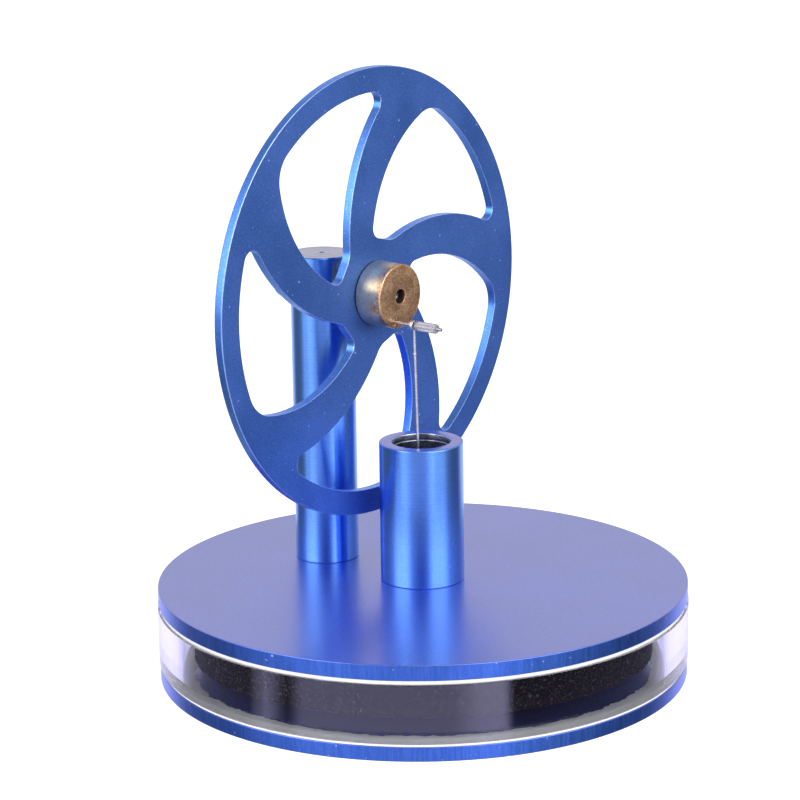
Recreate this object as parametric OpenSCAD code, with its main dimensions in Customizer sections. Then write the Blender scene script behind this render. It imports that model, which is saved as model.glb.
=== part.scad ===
// Low-temperature Stirling engine model with a magnetic displacer.
// The origin is the middle of the bottom plate's underside and +Z is up.
// The crankshaft lies along Y, with its crank at -Y and the post at +Y.

/* [Chamber] */
// Diameter of the two round plates
plate_d = 92; // [76:0.5:112]
// Thickness of the bottom plate
bottom_plate_t = 2.5; // [2:0.1:4]
// Thickness of the top plate
top_plate_t = 2.66; // [2.2:0.1:4]
// Height of the clear ring between the plates
ring_h = 10.05; // [8.4:0.05:16]
// Wall of the clear ring
ring_wall = 4; // [3:0.1:5]
// How far the clear ring stands out past the plates
ring_proud = 0.15; // [0:0.05:0.3]
// Thickness of the sealing ring under the clear ring
bottom_seal_t = 0.45; // [0.3:0.05:1]
// Thickness of the sealing ring over the clear ring
top_seal_t = 0.63; // [0.3:0.05:1]
// How far the lower sealing ring reaches in past the clear ring
bottom_seal_reach = 2.8; // [1:0.1:4]

/* [Displacer] */
// Gap around the foam displacer inside the clear ring
foam_gap = 2.1; // [1:0.1:4]
// Gap over the displacer at the top of its travel
foam_top_gap = 0.3; // [0.1:0.05:0.6]
// Gap under the displacer at the bottom of its travel
foam_bottom_gap = 0.3; // [0.1:0.05:0.6]
// Travel of the displacer
foam_travel = 2.5; // [1.9:0.1:3.3]

/* [Power cylinder] */
// Height of the cylinder above the top plate
cylinder_h = 24.5; // [23:0.5:32]
// Wall of the outer sleeve around the liner
sleeve_wall = 1.38; // [1:0.05:2]
// Wall of the liner
liner_wall = 0.95; // [0.7:0.05:1.4]
// Depth of the sleeve's lip over the liner
lip_h = 1.2; // [0.8:0.1:2]
// Side clearance between the piston and the liner
piston_clearance = 0.05; // [0.03:0.01:0.08]
// Diameter of the pin across the piston
wrist_pin_d = 1; // [0.8:0.1:1.4]
// Width of the slot that the rod swings in
slot_w = 1.1; // [0.9:0.1:1.6]

/* [Crank] */
// Stroke of the crank pin, twice its distance from the shaft's axis
stroke = 9; // [7.4:0.1:11]
// Angle of the crank pin at rest, from bottom dead centre towards -X
rest_angle = 20.9; // [0:0.1:30]
// Diameter of the con-rod's wire
rod_d = 0.46; // [0.38:0.02:0.6]
// How far the rod's lower end stands forward of its eye
rod_lean = 1; // [0:0.1:1.2]
// Diameter of the crank pin
pin_d = 0.64; // [0.54:0.02:0.9]
// Length of bare pin between the hub and the rod's eye
pin_bare = 3.55; // [3:0.05:5]
// Length of the retaining tube on the pin
pin_tube_l = 4.7; // [3:0.1:6]
// Diameter of the retaining tube
pin_tube_d = 1.66; // [1.4:0.02:2]
// How far the pin stands out of its tube
pin_tip = 1; // [0.5:0.1:2]
// Length of the brass hub in front of the wheel
hub_l = 5.45; // [4.5:0.05:8]
// Metal left outside the crank pin's hole
hub_edge = 0.75; // [0.6:0.05:1.5]
// Diameter of the crankshaft
shaft_d = 2.5; // [2:0.1:3]

/* [Flywheel] */
// Diameter of the flywheel
wheel_d = 77.8; // [64:0.2:94]
// Thickness of the flywheel
wheel_t = 1.65; // [1.3:0.05:2.5]
// Width of the rim
rim_w = 4.28; // [3:0.1:7]
// Radius of the solid middle
wheel_boss_r = 9.4; // [8:0.1:11]
// Number of curved spokes
spokes = 5; // [4:1:6]
// Radius in the corners of the windows
window_corner = 1.9; // [0.8:0.1:2.4]
// Radius where the leading edge of a window runs into the rim
window_bend = 6; // [3:0.2:8]
// Radius where the trailing edge of a window runs into the boss
window_root = 4; // [2:0.2:5]
// Gap between the wheel's rim and the top plate
wheel_plate_gap = 10.45; // [6:0.1:16]
// Gap between the wheel and the power cylinder
wheel_cylinder_gap = 2.38; // [1:0.1:5]

/* [Post] */
// Diameter of the post
post_d = 11.16; // [9.4:0.1:14]
// Height of the post over the shaft's axis
post_over_axis = 5.67; // [4:0.1:10]
// Gap between the wheel and the post
wheel_post_gap = 4.95; // [3:0.1:8]
// Thread diameter of the screw that holds the post
post_screw_d = 3; // [2.5:0.5:4]

/* [Bearings] */
// Outer diameter of the ball bearings
bearing_od = 6; // [5.6:0.1:7]
// Width of the ball bearings
bearing_w = 2.6; // [2:0.1:3]
// Number of balls
ball_count = 7; // [6:1:7]

/* [Hidden] */
$fn = 96;
edge = 0.2;          // small chamfer on turned edges
fit = 0.04;          // radial running clearance
eps = 0.01;
cut = 1;             // how far a cutter runs past a face

// Heights of the chamber, from the bottom up
bottom_seal_z = bottom_plate_t;
ring_z = bottom_seal_z + bottom_seal_t;
top_seal_z = ring_z + ring_h;
top_plate_z = top_seal_z + top_seal_t;
deck_z = top_plate_z + top_plate_t;
ring_r = plate_d / 2 + ring_proud;
ring_inner_r = ring_r - ring_wall;

// Displacer, held up under the top plate
foam_r = ring_inner_r - foam_gap;
foam_z = ring_z + foam_bottom_gap + foam_travel;
foam_t = top_plate_z - foam_top_gap - foam_z;
foam_magnet_r = 4;
foam_magnet_t = 1.5;

// Power cylinder
throw = stroke / 2;
swing_gap = 0.22;    // between the swinging rod and the bore
bore_r = throw + rod_d / 2 + swing_gap;
liner_r = bore_r + liner_wall;
sleeve_r = liner_r + sleeve_wall;
mouth_r = bore_r + 0.12;
mouth_z = deck_z + cylinder_h;
liner_top_z = mouth_z - lip_h;

// Shaft, wheel and crank
axis_z = deck_z + wheel_plate_gap + wheel_d / 2;
wheel_y = sleeve_r + wheel_cylinder_gap;
wheel_back_y = wheel_y + wheel_t;
hub_y = wheel_y - hub_l;
hub_r = throw + pin_d / 2 + hub_edge;
spigot_r = 3.5;
spigot_end_y = wheel_back_y + 0.8;
pin_x = -throw * sin(rest_angle);
pin_z = axis_z - throw * cos(rest_angle);
pin_depth = 4;       // length of the pin inside the hub
eye_r = pin_d / 2 + fit;
eye_outer_r = eye_r + rod_d;
eye_y = hub_y - pin_bare;              // face of the eye nearest the hub
eye_l = 2 * rod_d;
tube_gap = 0.1;
tube_y = eye_y - eye_l - tube_gap;     // face of the retaining tube nearest the hub
pin_end_y = tube_y - pin_tube_l - pin_tip;

// Piston, just above the bottom of its stroke
pin_rise = throw * (1 - cos(rest_angle));   // height of the crank pin over bottom dead centre
piston_r = bore_r - piston_clearance;
piston_z = top_plate_z + 1.4;
slot_floor_z = piston_z + 3.3;
slot_play = 0.4;
rod_end_z = slot_floor_z + stroke + slot_play;
piston_top_z = rod_end_z + 0.8;
piston_magnet_r = 3.9;
piston_magnet_t = 2;
rod_top_y = eye_y - eye_l + rod_d / 2;
rod_low_y = rod_top_y - rod_lean;
rod_l = pin_z - rod_end_z;
rod_tilt = atan2(rod_lean, rod_l);
rod_tail = 5;        // how far down the rod its wire's end is bound
wrist_pin_z = slot_floor_z + 5;

// Post, its screw and the bearings in its head
post_r = post_d / 2;
post_y = wheel_back_y + wheel_post_gap + post_r;
post_h = axis_z + post_over_axis - deck_z;
post_screw_r = post_screw_d / 2;
screw_depth = 9;
screw_head_r = post_screw_d * 0.92;
screw_head_h = 1.6;
screw_recess = 0.35;
bearing_r = bearing_od / 2;
pocket_y = sqrt(post_r * post_r - bearing_r * bearing_r);  // bearing face, from the post's axis
race_r = shaft_d / 2 + 0.47;           // outside of the inner ring
land_r = bearing_r - 0.47;             // inside of the outer ring
pitch_r = (race_r + land_r) / 2;
ball_r = 0.5;
groove_r = ball_r + fit;
shield_t = 0.15;
front_bearing_y = post_y - pocket_y + bearing_w / 2;
rear_bearing_y = post_y + pocket_y - bearing_w / 2;
bearing_ys = [front_bearing_y, rear_bearing_y];
collar_l = 3;
collar_r = 3.2;
collar_y = post_y + post_r + 0.3;      // just clear of the post's back
shaft_front_y = hub_y + 1;
shaft_back_y = collar_y + collar_l + 1;

// The wheel's windows. Each bounding arc is its centre, its radius, and which side of it is open:
// -1 inside and 1 outside. The two curved edges keep their proportion to the rim.
window_r = wheel_d / 2 - rim_w;
rim_arc = [[0, 0], window_r, -1];
boss_arc = [[0, 0], wheel_boss_r, 1];
lead_arc = [[0.694, 0.21] * window_r, 0.714 * window_r, -1];
trail_arc = [[0.498, -0.639] * window_r, 0.953 * window_r, 1];
window_arcs = [lead_arc, rim_arc, trail_arc, boss_arc];
window_tips = [
    touch(rim_arc, lead_arc, window_bend), touch(rim_arc, trail_arc, window_corner),
    touch(boss_arc, trail_arc, window_root), touch(boss_arc, lead_arc, window_corner)
];
arc_step = 2;        // length of the straight pieces that make an arc
tip_step = 0.5;      // the same in the rounded corners

// Left-hand crossing of two circles
function meet(p, r, q, s) =
    let (
        d = norm(q - p),
        along = (d * d + r * r - s * s) / (2 * d),
        aside = sqrt(r * r - along * along),
        u = (q - p) / d
    )
    p + along * u + aside * [-u.y, u.x];

// Centre of the corner circle of radius r that touches two arcs from the open side
function touch(p, q, r) =
    meet(p[0], p[1] + p[2] * r, q[0], q[1] + q[2] * r);

// Point of an arc nearest to a place
function foot(arc, place) = arc[0] + (place - arc[0]) * arc[1] / norm(place - arc[0]);

// Points of the shorter arc about c from p up to, but not including, q
function sweep(c, p, q, step) =
    let (
        r = norm(p - c),
        start = atan2(p.y - c.y, p.x - c.x),
        turn = (atan2(q.y - c.y, q.x - c.x) - start + 540) % 360 - 180,
        n = ceil(abs(turn) * PI / 180 * r / step)
    )
    [for (i = [0:n - 1]) c + r * [cos(start + turn * i / n), sin(start + turn * i / n)]];

// Outline of one window: each arc from corner to corner, then round the corner
window_outline = [
    for (k = [0:3])
        let (arc = window_arcs[k], after = window_arcs[(k + 1) % 4], tip = window_tips[k])
        each concat(
            sweep(arc[0], foot(arc, window_tips[(k + 3) % 4]), foot(arc, tip), arc_step),
            sweep(tip, foot(arc, tip), foot(after, tip), tip_step)
        )
];

blue = [0.22, 0.4, 0.86];
pale_blue = [0.6, 0.65, 0.88];
brass = [0.72, 0.55, 0.36];
steel = [0.75, 0.76, 0.8];

// A disc with chamfered edges, standing on z
module turned_disc(r, h, z, c = edge) {
    translate([0, 0, z])
        rotate_extrude()
            polygon([[0, 0], [r - c, 0], [r, c], [r, h - c], [r - c, h], [0, h]]);
}

// A plain tube standing on z
module tube(outer, inner, h, z) {
    translate([0, 0, z])
        rotate_extrude()
            translate([inner, 0])
                square([outer - inner, h]);
}

// Turns a shape that stands on Z so that it lies along +Y, starting at y on the shaft's axis
module on_shaft(y) {
    translate([0, y, axis_z])
        rotate([-90, 0, 0])
            children();
}

// A round bar along +Y, through x and z
module bar_y(r, y, l, x = 0, z = 0) {
    translate([x, y, z])
        rotate([-90, 0, 0])
            cylinder(r = r, h = l);
}

module bottom_plate() {
    color(blue)
        turned_disc(plate_d / 2, bottom_plate_t, 0);
}

module bottom_seal() {
    color("silver")
        tube(plate_d / 2 - edge, ring_inner_r - bottom_seal_reach, bottom_seal_t, bottom_seal_z);
}

module chamber_ring() {
    color([0.85, 0.88, 0.95, 0.35])
        translate([0, 0, ring_z])
            rotate_extrude()
                polygon([
                    [ring_inner_r, 0], [ring_r - edge, 0], [ring_r, edge],
                    [ring_r, ring_h - edge], [ring_r - edge, ring_h], [ring_inner_r, ring_h]
                ]);
}

module top_seal() {
    color("white")
        tube(plate_d / 2 - edge, ring_inner_r, top_seal_t, top_seal_z);
}

module top_plate() {
    color(pale_blue)
        difference() {
            turned_disc(plate_d / 2, top_plate_t, top_plate_z);
            translate([0, 0, top_plate_z - cut])
                cylinder(r = liner_r, h = top_plate_t + 2 * cut);
            translate([0, post_y, top_plate_z - cut])
                cylinder(r = post_screw_r + 2 * fit, h = top_plate_t + 2 * cut);
            translate([0, post_y, top_plate_z - cut])
                cylinder(r = screw_head_r + 0.25, h = cut + screw_recess + screw_head_h / 2);
        }
}

module displacer_foam() {
    color([0.16, 0.16, 0.2])
        difference() {
            turned_disc(foam_r, foam_t, foam_z);
            translate([0, 0, foam_z + foam_t - foam_magnet_t])
                cylinder(r = foam_magnet_r, h = foam_magnet_t + cut);
        }
}

module displacer_magnet() {
    color(steel)
        turned_disc(foam_magnet_r, foam_magnet_t, foam_z + foam_t - foam_magnet_t, 0.1);
}

module cylinder_sleeve() {
    color(blue)
        translate([0, 0, deck_z])
            rotate_extrude()
                polygon([
                    [liner_r, 0], [sleeve_r - edge, 0], [sleeve_r, edge],
                    [sleeve_r, cylinder_h - edge], [sleeve_r - edge, cylinder_h],
                    [mouth_r + edge, cylinder_h], [mouth_r, cylinder_h - edge],
                    [mouth_r, cylinder_h - lip_h], [liner_r, cylinder_h - lip_h]
                ]);
}

module cylinder_liner() {
    color(steel)
        tube(liner_r, bore_r, liner_top_z - top_plate_z, top_plate_z);
}

// A plug with a slot across X for the rod, a cross hole and a recess for its magnet
module piston() {
    color([0.3, 0.3, 0.32])
        difference() {
            turned_disc(piston_r, piston_top_z - piston_z, piston_z);
            translate([-sleeve_r, rod_low_y - slot_w / 2, slot_floor_z])
                cube([2 * sleeve_r, slot_w, piston_top_z]);
            bar_y(wrist_pin_d / 2, -sleeve_r, 2 * sleeve_r, 0, wrist_pin_z);
            translate([0, 0, piston_z - cut])
                cylinder(r = piston_magnet_r, h = piston_magnet_t + cut);
        }
}

// Two halves of the pin, open where the rod swings between them
module wrist_pin() {
    half_y = sqrt(piston_r * piston_r - wrist_pin_d * wrist_pin_d / 4) - 0.3;
    color(steel) {
        bar_y(wrist_pin_d / 2, -half_y, rod_low_y - slot_w / 2 + half_y, 0, wrist_pin_z);
        bar_y(wrist_pin_d / 2, rod_low_y + slot_w / 2, half_y - rod_low_y - slot_w / 2, 0, wrist_pin_z);
    }
}

module piston_magnet() {
    color(steel)
        turned_disc(piston_magnet_r, piston_magnet_t, piston_z, 0.1);
}

// A wire bent into a two-turn eye, with its end bound to the rod below
module con_rod() {
    bound_y = rod_top_y - rod_tail * tan(rod_tilt);
    color(steel) {
        translate([pin_x, 0, pin_z])
            rotate([90, 0, 0])
                translate([0, 0, -eye_y])
                    rotate_extrude()
                        translate([eye_r, 0])
                            square([rod_d, eye_l]);
        translate([pin_x, rod_top_y, pin_z])
            rotate([-rod_tilt, 0, 0])
                translate([0, 0, -rod_l])
                    cylinder(r = rod_d / 2, h = rod_l - eye_r - rod_d / 2);
        translate([pin_x, bound_y, pin_z - rod_tail])
            rotate([0, 90, 0])
                cylinder(r = rod_d / 3, h = rod_d);
    }
}

module post() {
    color(blue)
        difference() {
            translate([0, post_y, deck_z])
                rotate_extrude()
                    polygon([
                        [0, 0], [post_r - edge, 0], [post_r, edge], [post_r, post_h - 2 * edge],
                        [post_r - 2 * edge, post_h], [0.7, post_h], [0, post_h - 0.6]
                    ]);
            translate([0, post_y, deck_z - cut])
                cylinder(r = post_screw_r, h = screw_depth + cut + 1);
            bar_y(bearing_r - 0.8, post_y - post_r - cut, post_d + 2 * cut, 0, axis_z);
            for (side = [-1, 1])
                translate([0, post_y + side * (pocket_y - bearing_w / 2 + cut), axis_z])
                    rotate([90, 0, 0])
                        cylinder(r = bearing_r, h = bearing_w + 2 * cut, center = true);
        }
}

module post_screw() {
    head_z = top_plate_z + screw_recess;
    color(steel)
        difference() {
            union() {
                translate([0, post_y, head_z])
                    cylinder(r = screw_head_r, h = screw_head_h / 2);
                translate([0, post_y, head_z + eps])
                    cylinder(r = post_screw_r, h = deck_z + screw_depth - head_z);
            }
            translate([0, post_y, head_z - eps])
                cylinder(r = post_screw_r * 0.55, h = 0.6, $fn = 6);
        }
}

module post_washer() {
    color([0.1, 0.1, 0.12])
        translate([0, post_y, 0])
            tube(screw_head_r + 0.2, post_screw_r + 2 * fit, screw_recess, top_plate_z);
}

module shaft() {
    color(steel)
        on_shaft(0)
            translate([0, 0, shaft_front_y])
                rotate_extrude()
                    polygon([
                        [0, 0], [shaft_d / 2 - edge, 0], [shaft_d / 2, edge],
                        [shaft_d / 2, shaft_back_y - shaft_front_y - edge],
                        [shaft_d / 2 - edge, shaft_back_y - shaft_front_y],
                        [0, shaft_back_y - shaft_front_y]
                    ]);
}

module flywheel() {
    color(blue)
        difference() {
            on_shaft(wheel_y)
                turned_disc(wheel_d / 2, wheel_t, 0, 0.12);
            on_shaft(wheel_y - cut)
                cylinder(r = spigot_r, h = wheel_t + 2 * cut);
            for (i = [0:spokes - 1])
                translate([0, wheel_back_y + cut, axis_z])
                    rotate([90, 0, 0])
                        rotate([0, 0, i * 360 / spokes])
                            linear_extrude(wheel_t + 2 * cut)
                                polygon(window_outline);
        }
}

// The hub's front is the crank disc, and its spigot carries the wheel
module crank_hub() {
    color(brass)
        difference() {
            on_shaft(hub_y)
                rotate_extrude()
                    polygon([
                        [0, 0], [hub_r - edge, 0], [hub_r, edge], [hub_r, hub_l],
                        [spigot_r, hub_l], [spigot_r, spigot_end_y - hub_y], [0, spigot_end_y - hub_y]
                    ]);
            on_shaft(hub_y - cut)
                cylinder(r = shaft_d / 2, h = spigot_end_y - hub_y + 2 * cut);
            bar_y(pin_d / 2, hub_y - cut, pin_depth + cut, pin_x, pin_z);
            translate([0, hub_y + hub_l / 2, axis_z])
                rotate([0, 90, 0])
                    cylinder(r = 0.8, h = hub_r + cut);
        }
}

module set_screw(y, inner, outer) {
    color([0.2, 0.2, 0.22])
        translate([inner, y, axis_z])
            rotate([0, 90, 0])
                difference() {
                    cylinder(r = 0.8, h = outer - inner);
                    translate([0, 0, outer - inner - 0.6])
                        cylinder(r = 0.45, h = cut, $fn = 6);
                }
}

module hub_screw() set_screw(hub_y + hub_l / 2, shaft_d / 2, hub_r - 0.8);

module crank_pin() {
    color(steel)
        translate([pin_x, 0, pin_z - axis_z])
            on_shaft(pin_end_y)
                turned_disc(pin_d / 2, hub_y + pin_depth - pin_end_y, 0, 0.08);
}

module pin_tube() {
    color([0.92, 0.9, 0.95, 0.8])
        translate([pin_x, tube_y, pin_z])
            rotate([90, 0, 0])
                tube(pin_tube_d / 2, pin_d / 2, pin_tube_l, 0);
}

module front_spacer() {
    color(brass)
        on_shaft(spigot_end_y)
            tube(shaft_d / 2 + 0.45, shaft_d / 2, front_bearing_y - bearing_w / 2 - spigot_end_y, 0);
}

module rear_collar() {
    color(steel)
        difference() {
            union() {
                on_shaft(collar_y)
                    turned_disc(collar_r, collar_l, 0);
                on_shaft(rear_bearing_y + bearing_w / 2)
                    cylinder(r = shaft_d / 2 + 0.45, h = collar_y - rear_bearing_y - bearing_w / 2 + eps);
            }
            on_shaft(rear_bearing_y)
                cylinder(r = shaft_d / 2, h = collar_l + bearing_w + cut);
            translate([0, collar_y + collar_l / 2, axis_z])
                rotate([0, 90, 0])
                    cylinder(r = 0.8, h = collar_r + cut);
        }
}

module collar_screw() set_screw(collar_y + collar_l / 2, shaft_d / 2, collar_r - 0.2);

// One ring of a ball bearing, between two radii, with its ball groove
module race(y, outer, inner) {
    color(steel)
        on_shaft(y - bearing_w / 2)
            rotate_extrude()
                difference() {
                    translate([inner, 0])
                        square([outer - inner, bearing_w]);
                    translate([pitch_r, bearing_w / 2])
                        circle(r = groove_r);
                }
}

module balls(y) {
    color("white")
        for (i = [0:ball_count - 1])
            translate([0, y, axis_z])
                rotate([0, i * 360 / ball_count, 0])
                    translate([pitch_r, 0, 0])
                        sphere(r = ball_r);
}

module cage(y) {
    cage_w = 1.3;
    color(brass)
        difference() {
            on_shaft(y - cage_w / 2)
                tube(pitch_r + 0.15, pitch_r - 0.15, cage_w, 0);
            for (i = [0:ball_count - 1])
                translate([0, y, axis_z])
                    rotate([0, 90 + i * 360 / ball_count, 0])
                        cylinder(r = ball_r + fit, h = bearing_r);
        }
}

module shields(y) {
    color(steel)
        for (side = [-1, 1])
            on_shaft(y + side * (bearing_w - shield_t) / 2 - shield_t / 2)
                tube(land_r, race_r + 0.1, shield_t, 0);
}

module front_bearing_outer() race(front_bearing_y, bearing_r, land_r);
module front_bearing_inner() race(front_bearing_y, race_r, shaft_d / 2);
module front_bearing_balls() balls(front_bearing_y);
module front_bearing_cage() cage(front_bearing_y);
module front_bearing_shields() shields(front_bearing_y);
module rear_bearing_outer() race(rear_bearing_y, bearing_r, land_r);
module rear_bearing_inner() race(rear_bearing_y, race_r, shaft_d / 2);
module rear_bearing_balls() balls(rear_bearing_y);
module rear_bearing_cage() cage(rear_bearing_y);
module rear_bearing_shields() shields(rear_bearing_y);

bottom_plate();
bottom_seal();
chamber_ring();
top_seal();
top_plate();
displacer_foam();
displacer_magnet();
cylinder_sleeve();
cylinder_liner();
piston();
wrist_pin();
piston_magnet();
con_rod();
post();
post_screw();
post_washer();
shaft();
flywheel();
crank_hub();
hub_screw();
crank_pin();
pin_tube();
front_spacer();
rear_collar();
collar_screw();
front_bearing_outer();
front_bearing_inner();
front_bearing_balls();
front_bearing_cage();
front_bearing_shields();
rear_bearing_outer();
rear_bearing_inner();
rear_bearing_balls();
rear_bearing_cage();
rear_bearing_shields();
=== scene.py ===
# A tabletop stirling engine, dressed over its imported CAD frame. Lengths in the dictionaries are millimetres.
import bpy
import math
from mathutils import Matrix, Vector, noise


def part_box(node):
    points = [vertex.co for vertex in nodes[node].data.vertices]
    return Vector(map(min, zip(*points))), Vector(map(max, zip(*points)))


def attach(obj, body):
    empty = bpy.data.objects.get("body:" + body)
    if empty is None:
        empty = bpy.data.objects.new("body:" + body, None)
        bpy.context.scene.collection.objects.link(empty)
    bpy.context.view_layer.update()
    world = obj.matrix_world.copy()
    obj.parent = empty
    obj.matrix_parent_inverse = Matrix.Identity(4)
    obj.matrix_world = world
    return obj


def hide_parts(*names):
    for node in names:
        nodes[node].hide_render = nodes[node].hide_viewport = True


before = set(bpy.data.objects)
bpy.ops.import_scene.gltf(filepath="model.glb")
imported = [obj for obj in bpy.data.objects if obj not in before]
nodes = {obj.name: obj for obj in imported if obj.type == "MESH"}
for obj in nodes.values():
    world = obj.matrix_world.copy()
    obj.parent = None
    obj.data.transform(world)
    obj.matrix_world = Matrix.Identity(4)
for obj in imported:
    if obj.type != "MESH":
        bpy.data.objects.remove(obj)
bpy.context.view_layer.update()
mm = 0.001
print("frame loaded:", len(nodes), "nodes")


def span(node):  # lowest and highest corner of a CAD node, in millimetres
    low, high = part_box(node)
    return low / mm, high / mm


shaftLow, shaftHigh = span("shaft")
axisZ = (shaftLow.z + shaftHigh.z) / 2
postLow, postHigh = span("post")
postY = (postLow.y + postHigh.y) / 2
pinLow, pinHigh = span("crank_pin")
pinX, pinZ = (pinLow.x + pinHigh.x) / 2, (pinLow.z + pinHigh.z) / 2


# modelling helpers

def clearSelection():
    if bpy.context.object and bpy.context.object.mode != "OBJECT":
        bpy.ops.object.mode_set(mode="OBJECT")
    bpy.ops.object.select_all(action="DESELECT")


def pick(piece):
    clearSelection()
    piece.select_set(True)
    bpy.context.view_layer.objects.active = piece


def applyAll(piece):
    pick(piece)
    for modifier in list(piece.modifiers):
        bpy.ops.object.modifier_apply(modifier=modifier.name)


def smooth(piece, angle=38):  # broad flat faces keep their own normals up to the rounded edges
    pick(piece)
    bpy.ops.object.shade_smooth_by_angle(angle=math.radians(angle))
    even = piece.modifiers.new("even", "WEIGHTED_NORMAL")
    even.keep_sharp = True
    bpy.ops.object.modifier_apply(modifier=even.name)


def rounded(outline, closed):
    # each corner is (radius, height, round); a rounded corner becomes four points on an arc
    made = []
    for i, corner in enumerate(outline):
        here = Vector(corner[:2])
        size = corner[2] if len(corner) > 2 else 0
        atEnd = not closed and i in (0, len(outline) - 1)
        if not size or atEnd:
            made.append(here)
            continue
        back = (Vector(outline[i - 1][:2]) - here).normalized()
        ahead = (Vector(outline[(i + 1) % len(outline)][:2]) - here).normalized()
        start, end = here + back * size, here + ahead * size
        for t in (0, 0.3, 0.7, 1):
            a, b = start.lerp(here, t), here.lerp(end, t)
            made.append(a.lerp(b, t))
    return made


def turned(name, outline, middle=(0, 0, 0), along="Z", steps=224, closed=True):
    # a lathe: one vertex is drawn out along the outline, and the line is spun round its axis
    clearSelection()
    points = rounded(outline, closed)
    if closed:
        points.append(points[0])
    centre = Vector(middle)

    def placed(p):
        if along == "Z":
            return (centre + Vector((p.x, 0, p.y))) * mm
        return (centre + Vector((p.x, p.y, 0))) * mm

    bpy.ops.mesh.primitive_plane_add(size=mm)
    piece = bpy.context.object
    piece.name = name
    bpy.ops.object.mode_set(mode="EDIT")
    bpy.ops.mesh.merge(type="CENTER")
    bpy.ops.transform.translate(value=placed(points[0]))
    for a, b in zip(points, points[1:]):
        bpy.ops.mesh.extrude_region_move(TRANSFORM_OT_translate={"value": placed(b) - placed(a)})
    bpy.ops.mesh.select_all(action="SELECT")
    axis = (0, 0, 1) if along == "Z" else (0, 1, 0)
    bpy.ops.mesh.spin(steps=steps, angle=2 * math.pi, center=centre * mm, axis=axis)
    bpy.ops.mesh.select_all(action="SELECT")
    bpy.ops.mesh.remove_doubles(threshold=1e-6)
    bpy.ops.mesh.normals_make_consistent(inside=False)
    bpy.ops.object.mode_set(mode="OBJECT")
    smooth(piece)
    return piece


def bar(name, radius, start, end, steps=96):  # a plain cutter for holes
    clearSelection()
    a, b = Vector(start) * mm, Vector(end) * mm
    bpy.ops.mesh.primitive_cylinder_add(vertices=steps, radius=radius * mm, depth=(b - a).length)
    cutter = bpy.context.object
    cutter.name = name
    turn = (b - a).to_track_quat("Z", "Y").to_matrix().to_4x4()
    cutter.data.transform(Matrix.Translation((a + b) / 2) @ turn)
    return cutter


def cutAway(piece, *cutters):
    for cutter in cutters:
        hole = piece.modifiers.new("hole", "BOOLEAN")
        hole.object = cutter
        hole.solver = "EXACT"
        applyAll(piece)
        bpy.data.objects.remove(cutter)


def soften(piece, width, segments=2, angle=40):
    edges = piece.modifiers.new("edges", "BEVEL")
    edges.width = width * mm
    edges.segments = segments
    edges.limit_method = "ANGLE"
    edges.angle_limit = math.radians(angle)
    edges.use_clamp_overlap = True
    applyAll(piece)
    smooth(piece)


def copied(node, name):
    # a CAD node's own mesh, copied and joined up so that its edges can be softened
    clearSelection()
    piece = bpy.data.objects.new(name, nodes[node].data.copy())
    bpy.context.scene.collection.objects.link(piece)
    piece.data.materials.clear()
    pick(piece)
    bpy.ops.mesh.customdata_custom_splitnormals_clear()
    bpy.ops.object.mode_set(mode="EDIT")
    bpy.ops.mesh.select_all(action="SELECT")
    bpy.ops.mesh.remove_doubles(threshold=2e-6)
    bpy.ops.mesh.dissolve_limited(angle_limit=math.radians(0.5))
    bpy.ops.object.mode_set(mode="OBJECT")
    return piece


def paintFaces(piece, index, chosen):
    # chosen(centre in mm, normal) says which faces take the finish at index
    for face in piece.data.polygons:
        if chosen(face.center / mm, face.normal):
            face.material_index = index


def place(piece, body, slot, finishes, *stoodFor):
    for finish in finishes if isinstance(finishes, (list, tuple)) else [finishes]:
        piece.data.materials.append(finish)
    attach(piece, body)
    if stoodFor:
        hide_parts(*stoodFor)


def dress(node, finish):
    holder = nodes[node]
    holder.data.materials.clear()
    holder.data.materials.append(finish)


# shader helpers

class Wire:
    def __init__(self, tree, socket=None):
        self.tree = tree
        self.socket = socket

    def add(self, kind, settings=None, give=None, out=0):
        made = self.tree.nodes.new(kind)
        for key, value in (settings or {}).items():
            if key == "stops":
                ramp = made.color_ramp.elements
                while len(ramp) < len(value):
                    ramp.new(0.5)
                for stop, (at, colour) in zip(ramp, value):
                    stop.position = at
                    stop.color = colour if len(colour) == 4 else (*colour, 1)
            else:
                setattr(made, key, value)
        for key, value in (give or {}).items():
            if isinstance(value, Wire):
                self.tree.links.new(value.socket, made.inputs[key])
            else:
                made.inputs[key].default_value = value
        return Wire(self.tree, made.outputs[out]) if made.outputs else None

    def maths(self, operation, *others):
        give = dict(enumerate((self, *others)))
        return self.add("ShaderNodeMath", {"operation": operation}, give)

    def __add__(self, other): return self.maths("ADD", other)
    def __radd__(self, other): return self.maths("ADD", other)
    def __sub__(self, other): return self.maths("SUBTRACT", other)
    def __mul__(self, other): return self.maths("MULTIPLY", other)
    def __rmul__(self, other): return self.maths("MULTIPLY", other)
    def __pow__(self, other): return self.maths("POWER", other)

    def __rsub__(self, other):
        return self.add("ShaderNodeMath", {"operation": "SUBTRACT"}, {0: other, 1: self})


def split(wire):
    parts = wire.add("ShaderNodeSeparateXYZ", give={0: wire})
    source = parts.socket.node.outputs
    return [Wire(wire.tree, source[i]) for i in range(3)]


def between(wire, low, high):  # 0 below low and 1 above high
    settings = {"interpolation_type": "SMOOTHSTEP"}
    return wire.add("ShaderNodeMapRange", settings, {0: wire, 1: low, 2: high, 3: 0, 4: 1})


def tint(factor, first, second):
    give = {0: factor}
    for key, value in ((6, first), (7, second)):
        give[key] = value if isinstance(value, Wire) else (*value, 1)
    return factor.add("ShaderNodeMix", {"data_type": "RGBA"}, give, out=2)


def grain(start, place, perMetre, detail=3, rough=0.5):
    give = {"Vector": place, "Scale": perMetre, "Detail": detail, "Roughness": rough}
    return start.add("ShaderNodeTexNoise", give=give)


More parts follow.
